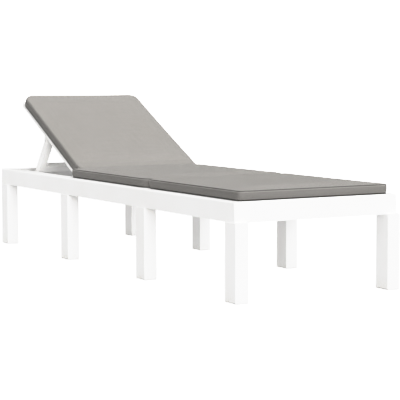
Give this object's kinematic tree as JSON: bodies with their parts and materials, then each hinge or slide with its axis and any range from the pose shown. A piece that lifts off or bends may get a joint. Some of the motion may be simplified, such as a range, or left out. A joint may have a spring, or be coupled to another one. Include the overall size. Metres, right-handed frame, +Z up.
{
  "type": "reclining sun lounger",
  "caption": "Low reclining sun lounger: white moulded rail frame on plug-in legs, slatted decks, hinged backrest on a folding strut, thin grey-brown cushion.",
  "frame": {"origin": "on the ground under the middle of the lounger's outer box", "axes": "+Z up, +Y towards the head end, +X to the right for a person lying face up with the head at +Y"},
  "size_m": [0.633, 1.93, 0.6253],
  "materials": {
    "white_plastic": "satin moulded white plastic",
    "pad_plastic": "matt light grey foot pads",
    "steel": "zinc plated screws and pins",
    "cushion_fabric": "plain-woven grey-brown polyester with piped edges"
  },
  "bodies": {
    "frame": {"beam_screws": "steel", "foot_cushion": "cushion_fabric", "foot_deck": "white_plastic", "foot_rail": "white_plastic", "foot_side_rail_left": "white_plastic", "foot_side_rail_right": "white_plastic", "head_rail": "white_plastic", "head_side_rail_left": "white_plastic", "head_side_rail_right": "white_plastic", "hinge_beam": "white_plastic", "hinge_bracket_left": "white_plastic", "hinge_bracket_right": "white_plastic", "hinge_bracket_screws": "steel", "hinge_pin_left": "steel", "hinge_pin_right": "steel", "leg_foot_left": "white_plastic", "leg_foot_right": "white_plastic", "leg_head_left": "white_plastic", "leg_head_right": "white_plastic", "leg_hinge_left": "white_plastic", "leg_hinge_right": "white_plastic", "leg_pads": "pad_plastic", "leg_screws": "steel", "leg_seam_left": "white_plastic", "leg_seam_right": "white_plastic", "leg_socket_foot_left": "white_plastic", "leg_socket_foot_right": "white_plastic", "leg_socket_head_left": "white_plastic", "leg_socket_head_right": "white_plastic", "leg_socket_hinge_left": "white_plastic", "leg_socket_hinge_right": "white_plastic", "leg_socket_seam_left": "white_plastic", "leg_socket_seam_right": "white_plastic", "rack_left": "white_plastic", "rack_right": "white_plastic", "rack_screws": "steel", "seam_beam": "white_plastic", "seat_cushion": "cushion_fabric", "seat_deck": "white_plastic"},
    "backrest": {"backrest_panel": "white_plastic", "back_cushion": "cushion_fabric", "strut_bracket_screws": "steel", "strut_bracket_left": "white_plastic", "strut_bracket_right": "white_plastic", "strut_pin_left": "steel", "strut_pin_right": "steel"},
    "strut": {"strut_arm_left": "white_plastic", "strut_arm_right": "white_plastic", "strut_crossbar": "white_plastic"}
  },
  "joints": [
    {"name": "backrest_hinge", "type": "hinge", "parent": "frame", "child": "backrest", "pos_m": [0, 0.3045, 0.3025], "axis": [1, 0, 0], "range_deg": [-26.9, 8]},
    {"name": "strut_fold", "type": "hinge", "parent": "backrest", "child": "strut", "pos_m": [0, 0.63372, 0.44485], "axis": [1, 0, 0], "range_deg": [-23.95, 80.3]}
  ],
  "couplings": [
    {"joint": "strut_fold", "follows": "backrest_hinge", "ratio": -2.9804}
  ]
}
